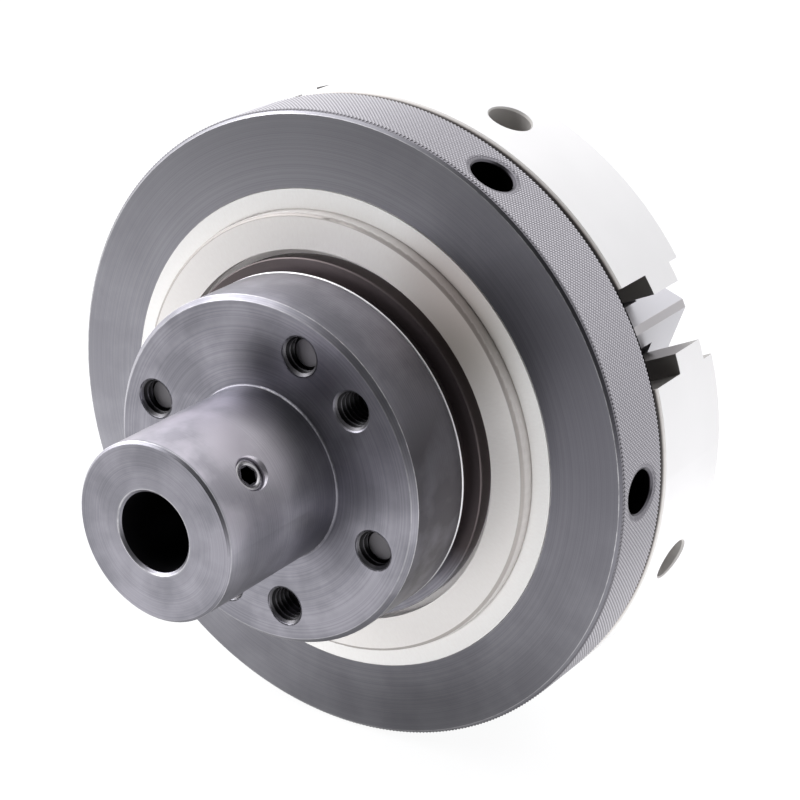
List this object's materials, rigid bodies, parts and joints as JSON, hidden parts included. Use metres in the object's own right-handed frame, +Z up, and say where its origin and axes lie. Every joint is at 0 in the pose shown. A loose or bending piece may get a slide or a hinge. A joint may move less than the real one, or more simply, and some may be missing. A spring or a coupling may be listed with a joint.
{
  "type": "wood lathe chuck",
  "caption": "Self-centring scroll chuck for a wood lathe: stepped jaws moved by a knurled ring turned with bars, on a hub adapter for a plain shaft.",
  "frame": {"origin": "on the chuck's axis, where the straight wall of the shaft bore begins behind its mouth chamfer", "axes": "+Y along the chuck's axis from the adapter to the jaws, +Z up as the chuck lies on its rim, X across"},
  "size_m": [0.1, 0.0906, 0.1],
  "materials": {
    "body_nickel": "bright nickel plate, finely turned",
    "ring_black_oxide": "black oxide, satin",
    "cover_nickel": "nickel plate, ground face",
    "adapter_black_oxide": "black oxide, satin, turned",
    "jaw_nickel": "bright nickel plate, ground",
    "screw_steel": "plain steel",
    "screw_black": "black oxide",
    "pin_steel": "ground steel"
  },
  "bodies": {
    "chuck": {"chuck_body": "body_nickel", "back_cover": "cover_nickel", "shaft_adapter": "adapter_black_oxide", "mounting_bolt_1": "screw_steel", "mounting_bolt_2": "screw_steel", "mounting_bolt_3": "screw_steel", "mounting_bolt_4": "screw_steel", "cover_screw_1": "screw_steel", "cover_screw_2": "screw_steel", "cover_screw_3": "screw_steel", "cover_screw_4": "screw_steel", "set_screw_1": "screw_black", "set_screw_2": "screw_black", "locating_pin_1": "pin_steel", "locating_pin_2": "pin_steel"},
    "scroll": {"scroll_ring": "ring_black_oxide"},
    "jaw_body_1": {"jaw_1": "jaw_nickel"},
    "jaw_body_2": {"jaw_2": "jaw_nickel"},
    "jaw_body_3": {"jaw_3": "jaw_nickel"},
    "jaw_body_4": {"jaw_4": "jaw_nickel"}
  },
  "joints": [
    {"name": "scroll_turn", "type": "hinge", "parent": "chuck", "child": "scroll", "pos_m": [0, 0.04785, 0], "axis": [0, 1, 0], "range_deg": [-480, 360]},
    {"name": "jaw_1_slide", "type": "slide", "parent": "chuck", "child": "jaw_body_1", "axis": [0.9063, 0, 0.4226], "range_m": [-0.003, 0.004]},
    {"name": "jaw_2_slide", "type": "slide", "parent": "chuck", "child": "jaw_body_2", "axis": [0.4226, 0, -0.9063], "range_m": [-0.003, 0.004]},
    {"name": "jaw_3_slide", "type": "slide", "parent": "chuck", "child": "jaw_body_3", "axis": [-0.9063, 0, -0.4226], "range_m": [-0.003, 0.004]},
    {"name": "jaw_4_slide", "type": "slide", "parent": "chuck", "child": "jaw_body_4", "axis": [-0.4226, 0, 0.9063], "range_m": [-0.003, 0.004]}
  ],
  "couplings": [
    {"joint": "jaw_1_slide", "follows": "scroll_turn", "m_per_rad": -0.00047746},
    {"joint": "jaw_2_slide", "follows": "scroll_turn", "m_per_rad": -0.00047746},
    {"joint": "jaw_3_slide", "follows": "scroll_turn", "m_per_rad": -0.00047746},
    {"joint": "jaw_4_slide", "follows": "scroll_turn", "m_per_rad": -0.00047746}
  ]
}
